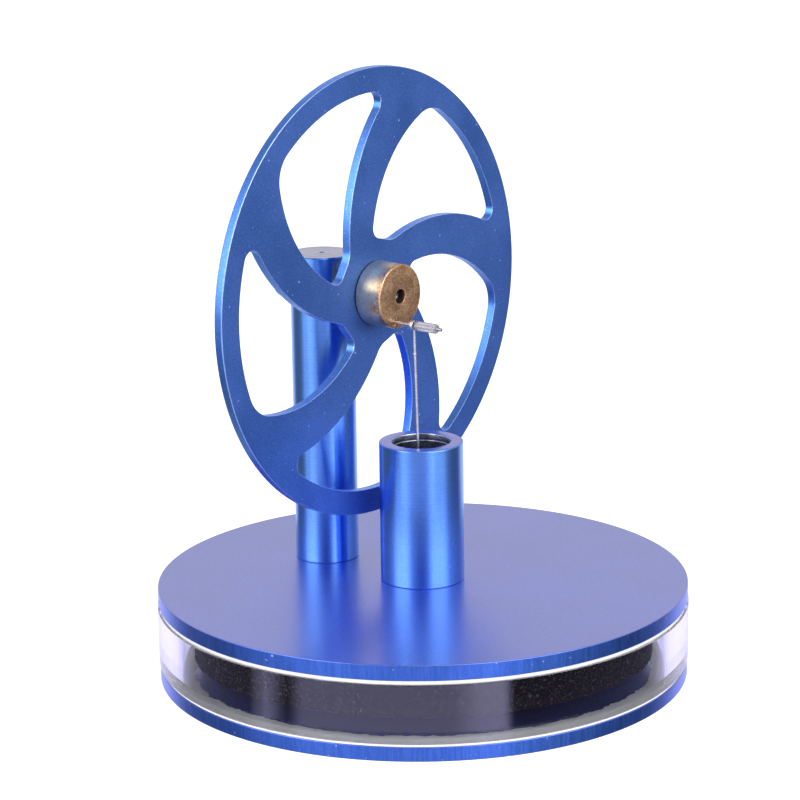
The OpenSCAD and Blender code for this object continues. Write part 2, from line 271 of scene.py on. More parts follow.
def stripes(start, track, perMetre, detail=2):
    give = {"W": track, "Scale": perMetre, "Detail": detail}
    return start.add("ShaderNodeTexNoise", {"noise_dimensions": "1D"}, give)


def stretched(start, place, scale):
    return start.add("ShaderNodeMapping", give={"Vector": place, "Scale": scale})


def bumped(start, height, depth):  # depth in millimetres
    give = {"Strength": 1.0, "Distance": depth * mm, "Height": height}
    return start.add("ShaderNodeBump", give=give)


def finish(name, recipe):
    material = bpy.data.materials.new(name)
    material.use_nodes = True
    tree = material.node_tree
    tree.nodes.clear()
    start = Wire(tree)
    surface = start.add("ShaderNodeBsdfPrincipled", give=recipe(start))
    start.add("ShaderNodeOutputMaterial", give={"Surface": surface})
    return material


# finishes

anodised = {
    "deep": (0.120, 0.315, 0.88), "light": (0.165, 0.40, 0.98), "rough": 0.28, "roughVary": 0.04,
    "lines": 4200, "depth": 0.0007, "stretch": 0.80, "coat": 0.25, "coatRough": 0.22,
}


def turnedBlue(name, middle, look=anodised):
    # fine lathe lines run round the axis, so highlights stretch along it
    def recipe(start):
        spot = start.add("ShaderNodeTexCoord", out="Object")
        x, y, z = split(spot)
        a, b = x - middle[0] * mm, y - middle[1] * mm
        track = (a * a + b * b) ** 0.5 + z
        fine = stripes(start, track, look["lines"])
        broad = stripes(start, track, look["lines"] / 9, 3)
        speck = grain(start, spot, 2600, 4, 0.65)
        cloud = grain(start, spot, 90, 3)
        shade = between(fine * 0.25 + speck * 0.4 + cloud * 0.35, 0.36, 0.64)
        return {
            "Base Color": tint(shade, look["deep"], look["light"]),
            "Metallic": 1.0,
            "Roughness": look["rough"] + look["roughVary"] * (speck * 0.6 + broad * 0.4 - 0.5),
            "Anisotropic": look["stretch"],
            "Anisotropic Rotation": 0.25,
            "Coat Weight": look["coat"],
            "Coat Roughness": look["coatRough"],
            "Normal": bumped(start, fine * 0.6 + broad * 0.5 + speck * 0.3, look["depth"]),
        }
    return finish(name, recipe)


milled = {
    "deep": (0.050, 0.160, 0.66), "light": (0.080, 0.220, 0.84), "nick": (0.60, 0.70, 0.95),
    "rough": 0.36, "streaks": 2200, "depth": 0.006, "coat": 0.35, "coatRough": 0.22,
}


def milledBlue(name, look=milled):
    # the plates' rims, with fine upright streaks and a few nicks
    def recipe(start):
        spot = start.add("ShaderNodeTexCoord", out="Object")
        streak = grain(start, stretched(start, spot, (1, 1, 0.08)), look["streaks"], 3, 0.6)
        wide = grain(start, stretched(start, spot, (1, 1, 0.05)), look["streaks"] / 6, 2)
        speck = grain(start, spot, 3000, 3, 0.6)
        nick = between(grain(start, spot, 1300, 2, 0.4), 0.735, 0.775)
        shade = between(streak * 0.6 + wide * 0.1 + speck * 0.3, 0.36, 0.66)
        return {
            "Base Color": tint(nick, tint(shade, look["deep"], look["light"]), look["nick"]),
            "Metallic": 1.0,
            "Roughness": look["rough"] + 0.22 * (streak - 0.5),
            "Coat Weight": look["coat"],
            "Coat Roughness": look["coatRough"],
            "Normal": bumped(start, streak + wide * 0.2 + speck * 0.4 - nick * 2, look["depth"]),
        }
    return finish(name, recipe)


blasted = {
    "deep": (0.016, 0.048, 0.50), "light": (0.058, 0.122, 0.86),
    "rough": 0.60, "grains": 4600, "depth": 0.022,
    "coat": 1.0, "coatRough": 0.26, "coatIor": 2.9,
}


def blastedBlue(name, look=blasted):
    # flat faces of the plates, with an even fine grain under the dye
    def recipe(start):
        spot = start.add("ShaderNodeTexCoord", out="Object")
        speck = grain(start, spot, look["grains"], 3, 0.7)
        coarse = grain(start, spot, look["grains"] / 3, 3, 0.6)
        cloud = grain(start, spot, 60, 3)
        scratch = between(grain(start, stretched(start, spot, (1, 0.03, 1)), 900, 1), 0.74, 0.76)
        shade = between(speck * 0.65 + coarse * 0.2 + cloud * 0.15, 0.36, 0.64)
        return {
            "Base Color": tint(shade, look["deep"], look["light"]),
            "Metallic": 1.0,
            "Roughness": look["rough"] + 0.20 * (speck - 0.5) + 0.06 * (cloud - 0.5),
            "Coat Weight": look["coat"],
            "Coat Roughness": look["coatRough"],
            "Coat IOR": look["coatIor"],
            "Normal": bumped(start, speck + coarse * 0.7 - scratch * 0.5, look["depth"]),
        }
    return finish(name, recipe)


satin = {
    "deep": (0.062, 0.158, 0.50), "light": (0.116, 0.250, 0.72), "nick": (0.5, 0.7, 1.0),
    "cut": (0.11, 0.30, 0.95), "cutPale": (0.27, 0.50, 1.0), "rough": 0.56, "cutRough": 0.34, "depth": 0.012,
}


def satinBlue(name, look=satin):
    # the wheel: fine satin faces, with brighter milled walls in its windows
    def recipe(start):
        spot = start.add("ShaderNodeTexCoord", out="Object")
        facing = split(start.add("ShaderNodeTexCoord", out="Normal"))[1]
        cutWall = 1 - between(facing.maths("ABSOLUTE"), 0.25, 0.75)
        speck = grain(start, spot, 3400, 4, 0.7)
        pit = between(grain(start, spot, 1500, 3, 0.6), 0.62, 0.74)
        cloud = grain(start, spot, 70, 3)
        mill = grain(start, stretched(start, spot, (1, 0.35, 1)), 2400, 3, 0.7)
        nick = between(grain(start, spot, 1500, 2, 0.4), 0.755, 0.775)
        spark = between(grain(start, spot, 4200, 2, 0.6), 0.56, 0.70)
        shade = between(speck * 0.6 + cloud * 0.4, 0.36, 0.64)
        face = tint(shade, look["deep"], look["light"])
        wall = tint(spark, look["cut"], look["cutPale"])
        faceRough = look["rough"] + 0.14 * (speck - 0.5)
        wallRough = look["cutRough"] + 0.30 * (mill - 0.5)
        height = (speck * 0.7 - pit * 0.5) * (1 - cutWall) + mill * cutWall * 1.6
        return {
            "Base Color": tint(nick, tint(cutWall, face, wall), look["nick"]),
            "Metallic": 1.0,
            "Roughness": faceRough * (1 - cutWall) + wallRough * cutWall,
            "Normal": bumped(start, height, look["depth"]),
        }
    return finish(name, recipe)


def plainMetal(name, deep, light, rough, depth=0.004, track=None, lines=4000):
    def recipe(start):
        spot = start.add("ShaderNodeTexCoord", out="Object")
        x, y, z = split(spot)
        if track == "Y":
            a, b = x, z - axisZ * mm
            fine = stripes(start, (a * a + b * b) ** 0.5 + y, lines)
        elif track == "Z":
            fine = stripes(start, (x * x + y * y) ** 0.5 + z, lines)
        else:
            fine = grain(start, spot, lines, 3)
        cloud = grain(start, spot, 600, 4, 0.6)
        return {
            "Base Color": tint(between(cloud * 0.6 + fine * 0.4, 0.36, 0.64), deep, light),
            "Metallic": 1.0,
            "Roughness": rough + 0.2 * (cloud - 0.5),
            "Normal": bumped(start, fine * 0.6 + cloud * 0.4, depth),
        }
    return finish(name, recipe)


def mattFinish(name, deep, light, rough, perMetre, depth, coat=0.0, shine=0.5, share=(0.38, 0.68)):
    def recipe(start):
        spot = start.add("ShaderNodeTexCoord", out="Object")
        coarse = grain(start, spot, perMetre, 5, 0.65)
        fine = grain(start, spot, perMetre * 4, 3)
        return {
            "Base Color": tint(between(coarse * 0.6 + fine * 0.4, *share), deep, light),
            "Specular IOR Level": shine,
            "Roughness": rough + 0.15 * (fine - 0.5),
            "Coat Weight": coat,
            "Normal": bumped(start, coarse * 0.7 + fine * 0.3, depth),
        }
    return finish(name, recipe)


acrylic = {"tint": (0.975, 0.985, 1.0), "rough": 0.012, "ior": 1.49, "depth": 0.003}


def clearAcrylic(name, look=acrylic):
    def recipe(start):
        spot = start.add("ShaderNodeTexCoord", out="Object")
        draw = grain(start, stretched(start, spot, (1, 1, 0.15)), 300, 2)
        scratch = between(grain(start, stretched(start, spot, (1, 1, 0.05)), 1800, 2), 0.68, 0.74)
        return {
            "Base Color": (*look["tint"], 1),
            "Transmission Weight": 1.0,
            "IOR": look["ior"],
            "Roughness": look["rough"] + scratch * 0.08,
            "Normal": bumped(start, draw + scratch * 0.2, look["depth"]),
        }
    return finish(name, recipe)


brassLook = {
    "deep": (0.50, 0.25, 0.12), "light": (1.0, 0.66, 0.40), "tarnish": (0.38, 0.18, 0.12),
    # the pale colours are laid on the hub's side from paleFrom back: partly a paler silvery metal on the side,
    # partly painted sheen
    "paleDeep": (0.80, 0.58, 0.36), "paleLight": (1.0, 0.90, 0.60), "paleFrom": 5.4,
    "hole": 1.32, "holeShadeColour": (0.30, 0.18, 0.12), "rough": 0.37, "depth": 0.006,
}


def turnedBrass(name, look=brassLook):
    def recipe(start):
        spot = start.add("ShaderNodeTexCoord", out="Object")
        x, y, z = split(spot)
        b = z - axisZ * mm
        radius = (x * x + b * b) ** 0.5
        fine = stripes(start, radius + y, 5200, 2)
        broad = stripes(start, radius + y, 900, 2)
        cloud = grain(start, spot, 420, 4, 0.65)
        mottle = grain(start, spot, 2600, 4, 0.75)
        stain = between(grain(start, spot, 800, 3, 0.6), 0.60, 0.75)
        scrape = between(grain(start, stretched(start, spot, (1, 1, 0.06)), 2200, 1), 0.68, 0.72)
        tone = between(fine * 0.1 + broad * 0.1 + cloud * 0.25 + mottle * 0.55, 0.40, 0.60) + scrape * 0.7
        metal = tint(stain * 0.5, tint(tone, look["deep"], look["light"]), look["tarnish"])
        facing = split(start.add("ShaderNodeTexCoord", out="Normal"))[1].maths("ABSOLUTE")
        side = 1 - between(facing, 0.3, 0.8)
        # the side, back from its front edge, is painted a paler silvery brass: partly a paler metal, partly
        # painted sheen
        paleStart, paleFull = (look["paleFrom"] - 0.7) * mm, (look["paleFrom"] + 0.5) * mm
        back = between(y + (cloud - 0.5) * 0.0022, paleStart, paleFull)
        paleMetalAndSheen = tint(between(cloud * 0.5 + mottle * 0.5, 0.35, 0.65), look["paleDeep"], look["paleLight"])
        # painted shade: inside the bore's radius the brass turns a dark brown, the shade down in the hole
        inside = 1 - between(radius, look["hole"] * 0.96 * mm, look["hole"] * mm)
        return {
            "Base Color": tint(inside, tint(side * back, metal, paleMetalAndSheen), look["holeShadeColour"]),
            "Metallic": 1.0,
            "Roughness": look["rough"] + 0.15 * (cloud - 0.4) + stain * 0.12,
            "Normal": bumped(start, fine * 0.4 + broad * 0.3 + cloud * 0.4 + mottle * 0.6, look["depth"]),
        }
    return finish(name, recipe)


plateBlue = blastedBlue("blasted_blue_plate")
rimBlue = milledBlue("milled_blue_rim")
sleeveBlue = turnedBlue("turned_blue_sleeve", (0, 0))
postBlue = turnedBlue("turned_blue_post", (0, postY))
# painted highlight: a brighter copy of the blasted blue, laid on the wheel's bevelled edges as a painted edge
# highlight
edgeHighlightBlue = blastedBlue("blue_edges_painted_highlight", {
    **blasted, "deep": (0.16, 0.36, 0.90), "light": (0.42, 0.62, 1.0),
})
# painted sheen: a paler, greyer copy of the blasted blue for the post's top face, the face that looks up
postTopSheenBlue = blastedBlue("faced_blue_post_top_painted_sheen", {
    **blasted, "deep": (0.26, 0.25, 0.50), "light": (0.42, 0.40, 0.62),
})
wheelBlue = satinBlue("satin_blue_wheel")
brassFinish = turnedBrass("turned_brass")
acrylicFinish = clearAcrylic("clear_acrylic")
foamFinish = mattFinish("coarse_black_foam", (0.006, 0.004, 0.005), (0.34, 0.29, 0.32), 0.9, 2300, 0.30,
                        shine=0.0, share=(0.53, 0.74))
sealantFinish = mattFinish("grey_sealant", (0.92, 0.91, 0.95), (1.0, 1.0, 1.0), 0.5, 700, 0.05, 0.2)
sealFinish = mattFinish("white_gasket", (0.80, 0.80, 0.84), (0.92, 0.92, 0.95), 0.35, 500, 0.02, 0.3)
graphiteFinish = mattFinish("fine_graphite", (0.05, 0.05, 0.055), (0.12, 0.12, 0.13), 0.5, 2500, 0.01)
# black rubber for the post's washer, and also painted shade on the pin tube's back end
blackRubberAndShadeFinish = mattFinish("black_rubber", (0.012, 0.012, 0.012), (0.03, 0.03, 0.03), 0.7, 1500, 0.01)
steelFinish = plainMetal("turned_steel", (0.42, 0.42, 0.43), (0.66, 0.66, 0.67), 0.28, 0.004, "Y")
linerFinish = plainMetal("honed_liner", (0.36, 0.39, 0.50), (0.66, 0.69, 0.82), 0.24, 0.006, "Z", 2600)
bearingFinish = plainMetal("ground_bearing_steel", (0.55, 0.56, 0.58), (0.78, 0.79, 0.80), 0.18, 0.002)
nickelFinish = plainMetal("plated_nickel", (0.55, 0.53, 0.49), (0.74, 0.72, 0.68), 0.25, 0.003)
wireFinish = plainMetal("drawn_wire", (0.86, 0.84, 0.88), (0.95, 0.93, 0.96), 0.24, 0.0005, None, 900)
# dark steel for the set screws, and also painted shade at the hub's contact line and on the shaft's end down
# in the hub's bore
darkSteelAndShadeFinish = plainMetal("blackened_steel_and_painted_shade", (0.03, 0.03, 0.033), (0.09, 0.09, 0.10), 0.4, 0.004)
print("finishes made")


tubeClear = {
    "dull": (0.90, 0.85, 0.90), "bright": (1.0, 0.97, 0.99),
    "clear": 0.78, "ior": 1.42, "rough": 0.02, "depth": 0.004,
}


def clearTube(name, look=tubeClear):
    def recipe(start):
        spot = start.add("ShaderNodeTexCoord", out="Object")
        cloud = grain(start, spot, 700, 3)
        return {
            "Base Color": tint(cloud, look["dull"], look["bright"]),
            "Transmission Weight": look["clear"],
            "IOR": look["ior"],
            "Roughness": look["rough"] + 0.04 * cloud,
            "Normal": bumped(start, cloud, look["depth"]),
        }
    return finish(name, recipe)


tubeFinish = clearTube("clear_tube")


# chamber

plateLook = {"edge": 0.16, "screwHole": 1.58, "seatGap": 0.25, "seatDepth": 1.15}
low, high = span("bottom_plate")
bottomPlate = turned("bottom_plate_turned", [
    (0, low.z), (high.x, low.z, plateLook["edge"]), (high.x, high.z, plateLook["edge"]), (0, high.z),
], steps=320, closed=False)


def onWall(centre, normal):
    return abs(normal.z) < 0.6


paintFaces(bottomPlate, 1, onWall)
place(bottomPlate, "base", "blue_anodised", [plateBlue, rimBlue], "bottom_plate")

low, high = span("top_plate")
portR = span("cylinder_liner")[1].x
topPlate = turned("top_plate_turned", [
    (portR, low.z), (high.x, low.z, plateLook["edge"]), (high.x, high.z, plateLook["edge"]), (portR, high.z),
], steps=320)
screwR = span("post_screw")[1].x
under, over = (0, postY, low.z - 1), (0, postY, high.z + 1)
seatTop = (0, postY, low.z + plateLook["seatDepth"])
cutAway(topPlate, bar("screw_hole", plateLook["screwHole"], under, over),
        bar("screw_seat", screwR + plateLook["seatGap"], under, seatTop))
smooth(topPlate)
paintFaces(topPlate, 1, onWall)
place(topPlate, "base", "blue_anodised", [plateBlue, rimBlue], "top_plate")

ringLook = {"edge": 0.12, "innerEdge": 0.08, "wall": 4.0}
low, high = span("chamber_ring")
ringInner = high.x - ringLook["wall"]
chamberRing = turned("chamber_ring_clear", [
    (ringInner, low.z, ringLook["innerEdge"]), (high.x, low.z, ringLook["edge"]),
    (high.x, high.z, ringLook["edge"]), (ringInner, high.z, ringLook["innerEdge"]),
], steps=360)
place(chamberRing, "base", "clear_acrylic", acrylicFinish, "chamber_ring")


def shiftVertices(piece, move):  # move(co in mm) gives each vertex its new place
    for vertex in piece.data.vertices:
        vertex.co = move(vertex.co / mm) * mm
    piece.data.update()


sealLook = {
    "inner": 39.35, "ringInner": 42.15, "slope": 41.2, "thin": 0.12,  # radii, and the inner edge's height
    "spread": 0.45, "drawnIn": 0.55, "waves": 16, "edge": 0.12, "innerEdge": 0.1,
}
low, high = span("bottom_seal")
# the sealing rings touch the clear one with no air between, so each reaches a little into it
wet = 0.03
high.z += wet
bottomSeal = turned("bottom_seal_squeezed", [
    (sealLook["inner"], low.z), (high.x, low.z), (high.x, high.z), (sealLook["ringInner"], high.z),
    (sealLook["slope"], high.z), (sealLook["inner"], low.z + sealLook["thin"]),
], steps=720)


def squeezed(p):
    angle = math.atan2(p.y, p.x)
    radius = math.hypot(p.x, p.y)
    if radius > 42.0:  # under the clear ring it stays as it is
        return p
    inner, outer, waves = sealLook["inner"], 42.1, sealLook["waves"]
    spot = Vector((math.cos(angle) * waves, math.sin(angle) * waves, 0.3))
    wave = noise.noise(spot) + 0.6 * noise.noise(spot * 3.1) + 0.4 * noise.noise(spot * 7.3)
    reach = (outer - radius) / (outer - inner)
    inward = radius + (sealLook["drawnIn"] - wave * sealLook["spread"]) * reach
    inward = max(39.37, min(outer, inward))
    return Vector((p.x / radius * inward, p.y / radius * inward, p.z))


shiftVertices(bottomSeal, squeezed)
place(bottomSeal, "base", "grey_sealant", sealantFinish, "bottom_seal")

low, high = span("top_seal")
low.z -= wet
topSeal = turned("top_seal_gasket", [
    (sealLook["ringInner"], low.z, sealLook["innerEdge"]), (high.x, low.z, sealLook["edge"]),
    (high.x, high.z, sealLook["edge"]), (sealLook["ringInner"], high.z, sealLook["innerEdge"]),
], steps=360)
place(topSeal, "base", "white_seal", sealFinish, "top_seal")
print("chamber made")


# displacer

foamLook = {"lump": 0.16, "inset": 0.12, "rows": 26, "roughFrom": 38, "faceRings": (20, 34)}
low, high = span("displacer_foam")
magnetR = span("displacer_magnet")[1].x
magnetZ = span("displacer_magnet")[0].z
wall = [(high.x, low.z + (high.z - low.z) * i / foamLook["rows"]) for i in range(foamLook["rows"] + 1)]
innerRing, outerRing = foamLook["faceRings"]
foam = turned("displacer_foam_disc", [
    (0, low.z), (innerRing, low.z), (outerRing, low.z), *wall, (outerRing, high.z), (innerRing, high.z),
    (magnetR, high.z), (magnetR, magnetZ), (0, magnetZ),
], steps=1100, closed=False)


def coarse(p):
    radius = math.hypot(p.x, p.y)
    if radius < foamLook["roughFrom"]:
        return p
    lump = noise.noise(p * 1.6) + 0.7 * noise.noise(p * 4.1)
    inward = radius - foamLook["inset"] + foamLook["lump"] * lump
    inward = min(high.x - 0.005, inward)
    return Vector((p.x / radius * inward, p.y / radius * inward, p.z))


shiftVertices(foam, coarse)
place(foam, "displacer", "black_foam", foamFinish, "displacer_foam")
dress("displacer_magnet", nickelFinish)
print("displacer made")


# power cylinder and piston

cylinderLook = {
    "mouth": 5.07, "bore": 4.95, "foot": 0.15, "lip": 0.22, "mouthEdge": 0.18, "pistonEdge": 0.12,
}
mouthR, boreR = cylinderLook["mouth"], cylinderLook["bore"]
low, high = span("cylinder_sleeve")
linerTop = span("cylinder_liner")[1].z
sleeve = turned("cylinder_sleeve_turned", [
    (portR, low.z), (high.x, low.z, cylinderLook["foot"]), (high.x, high.z, cylinderLook["lip"]),
    (mouthR, high.z, cylinderLook["mouthEdge"]), (mouthR, linerTop), (portR, linerTop),
], steps=256)
paintFaces(sleeve, 1, lambda centre, normal: normal.z > 0.8)


def inMouth(centre, normal):
    return math.hypot(centre.x, centre.y) < mouthR + 0.13 and normal.z < 0.8


paintFaces(sleeve, 2, inMouth)
place(sleeve, "base", "blue_anodised", [sleeveBlue, plateBlue, linerFinish], "cylinder_sleeve")

low, high = span("cylinder_liner")
liner = turned("cylinder_liner_honed", [
    (boreR, low.z, 0.1), (high.x, low.z, 0.1), (high.x, high.z, 0.05), (boreR, high.z, 0.1),
], steps=224)
place(liner, "base", "steel", linerFinish, "cylinder_liner")

piston = copied("piston", "piston_slotted")
soften(piston, cylinderLook["pistonEdge"])
place(piston, "piston", "graphite", graphiteFinish, "piston")
dress("wrist_pin", steelFinish)
dress("piston_magnet", nickelFinish)
print("cylinder made")


# connecting rod: wire with a two-turn eye and a bound tail

rodLook = {
    "wire": 0.21, "eye": 0.36, "eyeLength": 0.92, "turns": 2.0, "lowY": -1.03,
    "tail": 5.0, "windings": 1.6, "binding": 0.07, "bindingLength": 0.35,
}
rodLow, rodHigh = span("con_rod")


def wirePiece(name, points, radius, sides=6):
    curve = bpy.data.curves.new(name, "CURVE")
    curve.dimensions = "3D"
    curve.bevel_depth = radius * mm
    curve.bevel_resolution = sides
    curve.use_fill_caps = True
    line = curve.splines.new("POLY")
    line.points.add(len(points) - 1)
    for spot, p in zip(line.points, points):
        spot.co = (*(Vector(p) * mm), 1)
    line.use_smooth = True
    holder = bpy.data.objects.new(name, curve)
    bpy.context.scene.collection.objects.link(holder)
    pick(holder)
    bpy.ops.object.convert(target="MESH")
    smooth(holder, 50)
    return holder


def rodPath():
    wire, eyeR, eyeLength = rodLook["wire"], rodLook["eye"] + rodLook["wire"], rodLook["eyeLength"]
    topY, lowY = rodHigh.y - eyeLength + wire, rodLook["lowY"]
    footZ, turns = rodLow.z, rodLook["turns"]
    points = []
    for i in range(73):  # the eye, from the back turn to the front one
        t = i / 72
        angle = math.radians(-90) + t * turns * 2 * math.pi
        points.append((pinX + eyeR * math.cos(angle), rodHigh.y - wire - t * (eyeLength - 2 * wire),
                       pinZ + eyeR * math.sin(angle)))
    for i in range(1, 30):  # the straight rod, down to the piston
        t = i / 29
        z = pinZ - eyeR - t * (pinZ - eyeR - footZ - 0.02)
        points.append((pinX, topY + (lowY - topY) * t, z))
    return points


rodWire = wirePiece("con_rod_wire", rodPath(), rodLook["wire"])
tailPoints = []
for i in range(60):  # the wire's other end, laid down the rod and bound round it
    t = i / 59
    turn = t * rodLook["windings"] * 2 * math.pi
    reach = rodLook["wire"] + rodLook["binding"] * 0.8
    z = pinZ - rodLook["tail"] + 0.25 - t * rodLook["bindingLength"]
    y = -0.03 - (pinZ - 0.6 - z) * 1.0 / 33.3
    tailPoints.append((pinX + reach * math.cos(turn), y + reach * math.sin(turn), z))
rodTail = wirePiece("con_rod_binding", tailPoints, rodLook["binding"], 3)
place(rodWire, "con_rod", "steel_wire", wireFinish, "con_rod")
place(rodTail, "con_rod", "steel_wire", wireFinish)
print("rod made")


# crank

hubLook = {"bore": 1.25, "spigot": 3.5, "screw": 0.8, "screwAt": 2.725, "contact": 0.22, "pinDepth": 4}
low, high = span("crank_hub")
hubFront, hubR = low.y, high.x
spigotY = span("flywheel")[0].y
crankHub = turned("crank_hub_turned", [
    (hubLook["bore"], hubFront, 0.1), (hubR, hubFront, 0.22), (hubR, spigotY - hubLook["contact"]),
    (hubR, spigotY, 0.12), (hubLook["spigot"], spigotY), (hubLook["spigot"], high.y, 0.15),
    (hubLook["bore"], high.y, 0.1),
], middle=(0, 0, axisZ), along="Y", steps=224)
pinR = (pinHigh.x - pinLow.x) / 2
pinEnd, screwY = (pinX, hubFront + hubLook["pinDepth"], pinZ), hubFront + hubLook["screwAt"]
cutAway(crankHub, bar("pin_hole", pinR, (pinX, hubFront - 1, pinZ), pinEnd, 48),
        bar("screw_hole", hubLook["screw"], (1, screwY, axisZ), (8, screwY, axisZ), 48))
smooth(crankHub)


def contactShade(centre, normal):  # painted shadow: a thin dark line of shade where the hub meets the wheel
    return spigotY - 0.3 < centre.y < spigotY + 0.01 and normal.y > -0.5


paintFaces(crankHub, 1, contactShade)
place(crankHub, "crankshaft", "brass", [brassFinish, darkSteelAndShadeFinish], "crank_hub")

shaft = turned("shaft_turned", [
    (0, shaftLow.y + 0.3), (0.5, shaftLow.y), (shaftHigh.x, shaftLow.y, 0.2), (shaftHigh.x, shaftHigh.y, 0.2),
    (0, shaftHigh.y),
], middle=(0, 0, axisZ), along="Y", steps=96, closed=False)


def shadedShaftEnd(centre, normal):  # painted shade: the shaft's front end, down in the hub's bore, is painted dark but for its middle, which keeps its steel
    return centre.y < shaftLow.y + 1 and math.hypot(centre.x, centre.z - axisZ) > 0.5


paintFaces(shaft, 1, shadedShaftEnd)
place(shaft, "crankshaft", "steel", [steelFinish, darkSteelAndShadeFinish], "shaft")

crankPin = turned("crank_pin_turned", [
    (0, pinLow.y), (pinR, pinLow.y, 0.12), (pinR, pinHigh.y), (0, pinHigh.y),
], middle=(pinX, 0, pinZ), along="Y", steps=64, closed=False)
place(crankPin, "crankshaft", "steel", steelFinish, "crank_pin")

tubeLook = {"tip": 0.28, "ring": 0.26, "back": 0.15, "inner": 0.1}
low, high = span("pin_tube")
tubeR = (high.x - low.x) / 2
pinTube = turned("pin_tube_clear", [
    (pinR, low.y, tubeLook["inner"]), (tubeR, low.y, tubeLook["tip"]), (tubeR, high.y - tubeLook["ring"]),
    (tubeR, high.y, tubeLook["back"]), (pinR, high.y, tubeLook["inner"]),
], middle=(pinX, 0, pinZ), along="Y", steps=72)
# painted shade: the tube's back end, where it meets the rod's eye, is painted black as the shade in the gap
# between them
tubeGapShadeY = high.y - 0.25
paintFaces(pinTube, 1, lambda centre, normal: centre.y > tubeGapShadeY)
place(pinTube, "crankshaft", "clear_tube", [tubeFinish, blackRubberAndShadeFinish], "pin_tube")

wheelLook = {"edge": 0.14}
flywheel = copied("flywheel", "flywheel_cut")
soften(flywheel, wheelLook["edge"])
# painted highlight: the wheel's bevelled edges take the brighter blue as a painted edge highlight
paintFaces(flywheel, 1, lambda centre, normal: 0.25 < abs(normal.y) < 0.97)
place(flywheel, "crankshaft", "blue_anodised", [wheelBlue, edgeHighlightBlue], "flywheel")
print("crank and wheel made")


# post

postLook = {
    "rings": (4.0, 2.2), "ringWidth": 0.1, "ringDepth": 0.03, "dimple": 0.55, "dimpleDepth": 0.5,
    "foot": 0.15, "chamfer": (0.2, 0.22), "through": 2.2, "screwBore": 1.5, "screwDepth": 10,
}
low, high = span("post")
postR, topZ = high.x, high.z
inset, drop = postLook["chamfer"]
topRings = []
for ringR in postLook["rings"]:
    topRings += [(ringR + postLook["ringWidth"], topZ), (ringR, topZ - postLook["ringDepth"]),
                 (ringR - postLook["ringWidth"], topZ)]
post = turned("post_turned", [
    (0, low.z), (postR, low.z, postLook["foot"]), (postR, topZ - drop), (postR - inset, topZ), *topRings,
    (postLook["dimple"], topZ, 0.1), (0, topZ - postLook["dimpleDepth"]),
], middle=(0, postY, 0), steps=224, closed=False)
pocket = span("front_bearing_outer")
rear = span("rear_bearing_outer")
cutAway(post, bar("through", postLook["through"], (0, low.y - 1, axisZ), (0, high.y + 1, axisZ)),
        bar("front_pocket", pocket[1].x, (0, low.y - 1, axisZ), (0, pocket[1].y, axisZ)),
        bar("rear_pocket", pocket[1].x, (0, rear[0].y, axisZ), (0, high.y + 1, axisZ)),
        bar("screw_bore", postLook["screwBore"], (0, postY, low.z - 1),
            (0, postY, low.z + postLook["screwDepth"])))
smooth(post)
# painted sheen: the top face takes the paler, greyer blue
paintFaces(post, 1, lambda centre, normal: normal.z > 0.8 and centre.z > topZ - 1)
place(post, "base", "blue_anodised", [postBlue, postTopSheenBlue], "post")

for name in ("post_screw", "rear_collar"):
    dress(name, steelFinish)
dress("post_washer", blackRubberAndShadeFinish)
dress("front_spacer", brassFinish)
for name in ("hub_screw", "collar_screw"):
    dress(name, darkSteelAndShadeFinish)
for end in ("front", "rear"):
    for part in ("outer", "inner", "balls", "shields"):
        dress(end + "_bearing_" + part, bearingFinish)
    dress(end + "_bearing_cage", brassFinish)
print("post made")


# floor, light and camera

cameraLook = {"azimuth": -50.449, "elevation": 14.202, "roll": -0.792, "distance": 480.0, "lens": 126.0,
              "aimRight": -3.530, "aimUp": 48.073}


def makeCamera(look=cameraLook):
    az, el, roll = (math.radians(look[key]) for key in ("azimuth", "elevation", "roll"))
    back = Vector((math.sin(az) * math.cos(el), -math.cos(az) * math.cos(el), math.sin(el)))
    right = Vector((math.cos(az), math.sin(az), 0))
    up = back.cross(right)
    aim = right * look["aimRight"] + Vector((0, 0, look["aimUp"]))
    spot = (aim + back * look["distance"]) * mm
    across = right * math.cos(roll) + up * math.sin(roll)
    upward = up * math.cos(roll) - right * math.sin(roll)
    lens = bpy.data.cameras.new("camera")
    lens.lens = look["lens"]
    lens.sensor_width = 36
    lens.clip_start, lens.clip_end = 0.01, 10
    holder = bpy.data.objects.new("camera", lens)
    bpy.context.scene.collection.objects.link(holder)
    turn = Matrix((across, upward, back)).transposed().to_4x4()
    holder.matrix_world = Matrix.Translation(spot) @ turn
    bpy.context.scene.camera = holder
    return back, right


back, right = makeCamera()

floorLook = {"radius": 3, "grey": 0.5, "glow": 0.85}  # the radius in metres
clearSelection()
bpy.ops.mesh.primitive_circle_add(vertices=96, radius=floorLook["radius"], fill_type="NGON")
floor = bpy.context.object
floor.name = "floor"
floorFinish = bpy.data.materials.new("pale_floor")
floorFinish.use_nodes = True
tree = floorFinish.node_tree
tree.nodes.clear()
start = Wire(tree)
sheet = start.add("ShaderNodeBsdfDiffuse", give={"Color": (*(floorLook["grey"],) * 3, 1)})
glow = start.add("ShaderNodeEmission", give={"Color": (1, 1, 1, 1), "Strength": floorLook["glow"]})
both = start.add("ShaderNodeAddShader", give={0: sheet, 1: glow})
start.add("ShaderNodeOutputMaterial", give={"Surface": both})
floor.data.materials.append(floorFinish)
floor.visible_glossy = False
floor.visible_transmission = False  # so that the clear ring mirrors the studio and not the floor

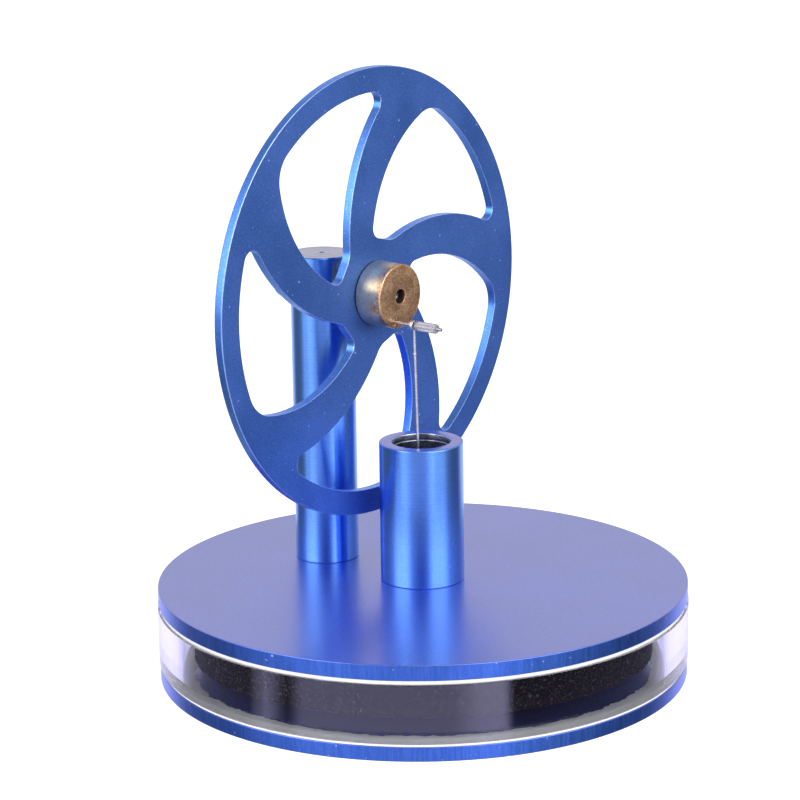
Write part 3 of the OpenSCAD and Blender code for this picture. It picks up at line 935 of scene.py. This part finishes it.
# how bright the studio is all the way round, from behind the object, past the camera's left and right,
# to behind again
studio = {
    "above": [(-180, 0.86), (-140, 0.86), (-128, 0.45), (-110, 0.42), (-94, 0.75), (-84, 1.3), (-77, 3.4),
              (-44, 3.8), (-30, 0.9), (-10, 0.10), (8, 0.10), (18, 1.0), (27, 3.4), (64, 3.6), (76, 1.3),
              (92, 0.80), (120, 0.50), (132, 0.7), (142, 0.86), (180, 0.86)],
    "below": [(-180, 1.0), (-142, 1.0), (-126, 0.20), (-80, 0.14), (-60, 0.4), (-56, 0.6), (35, 0.6),
              (60, 0.5), (80, 0.10), (118, 0.14), (140, 1.0), (180, 1.0)],
    "strip": [(-180, 1.0), (-142, 1.0), (-126, 0.20), (-80, 0.12), (-76, 1.1), (-71, 1.1), (-65, 0.12),
              (-60, 0.12), (-56, 1.0), (12, 1.0), (24, 1.75), (35, 1.85), (38, 0.08), (118, 0.12),
              (140, 1.0), (180, 1.0)],
    "peak": 3.8, "overhead": 0.35, "beneath": 0.5, "cool": (1.0, 0.95, 1.55),
}
world = bpy.data.worlds.new("studio")
bpy.context.scene.world = world
world.use_nodes = True
tree = world.node_tree
tree.nodes.clear()
start = Wire(tree)
x, y, z = split(start.add("ShaderNodeTexCoord", out="Generated"))
flat = Vector((back.x, back.y)).normalized()
toward = x * flat.x + y * flat.y
aside = x * right.x + y * right.y
turnShare = aside.maths("ARCTAN2", toward) * (1 / (2 * math.pi)) + 0.5


def roundLevel(rows):
    stops = [((at + 180) / 360, (level / studio["peak"],) * 3) for at, level in rows]
    return start.add("ShaderNodeValToRGB", {"stops": stops}, {0: turnShare}) * studio["peak"]


rise = between(z, -0.10, 0.06)
strip = between(z, -0.41, -0.39) * (1 - between(z, -0.295, -0.275))
level = roundLevel(studio["above"]) * rise + roundLevel(studio["below"]) * (1 - rise) * (1 - strip)
level = level + roundLevel(studio["strip"]) * strip
high = between(z, 0.5, 0.85)
low = between(0 - z, 0.5, 0.85)
level = level * (1 - high) + high * studio["overhead"]
level = level * (1 - low) + low * studio["beneath"]
seen = start.add("ShaderNodeLightPath", out="Is Camera Ray")
level = level * (1 - seen) + seen
cool = tint(strip * (1 - seen), (1, 1, 1), studio["cool"])
light = start.add("ShaderNodeBackground", give={"Color": cool, "Strength": level})
start.add("ShaderNodeOutputWorld", give={"Surface": light})

lampLook = {"size": (0.5, 0.35), "power": 1.2, "place": (-0.25, -0.35, 0.75)}  # metres and watts
lamp = bpy.data.lights.new("overhead_softbox", "AREA")
lamp.shape = "RECTANGLE"
lamp.size, lamp.size_y = lampLook["size"]
lamp.energy = lampLook["power"]
holder = bpy.data.objects.new("overhead_softbox", lamp)
bpy.context.scene.collection.objects.link(holder)
holder.location = lampLook["place"]
holder.rotation_euler = (-holder.location).to_track_quat("-Z", "Y").to_euler()
holder.visible_camera = False

scene = bpy.context.scene
scene.view_settings.view_transform = "Standard"
scene.view_settings.look = "None"
scene.cycles.use_denoising = True
scene.cycles.max_bounces = 12
scene.cycles.transmission_bounces = 12
scene.cycles.glossy_bounces = 6
print("studio made")
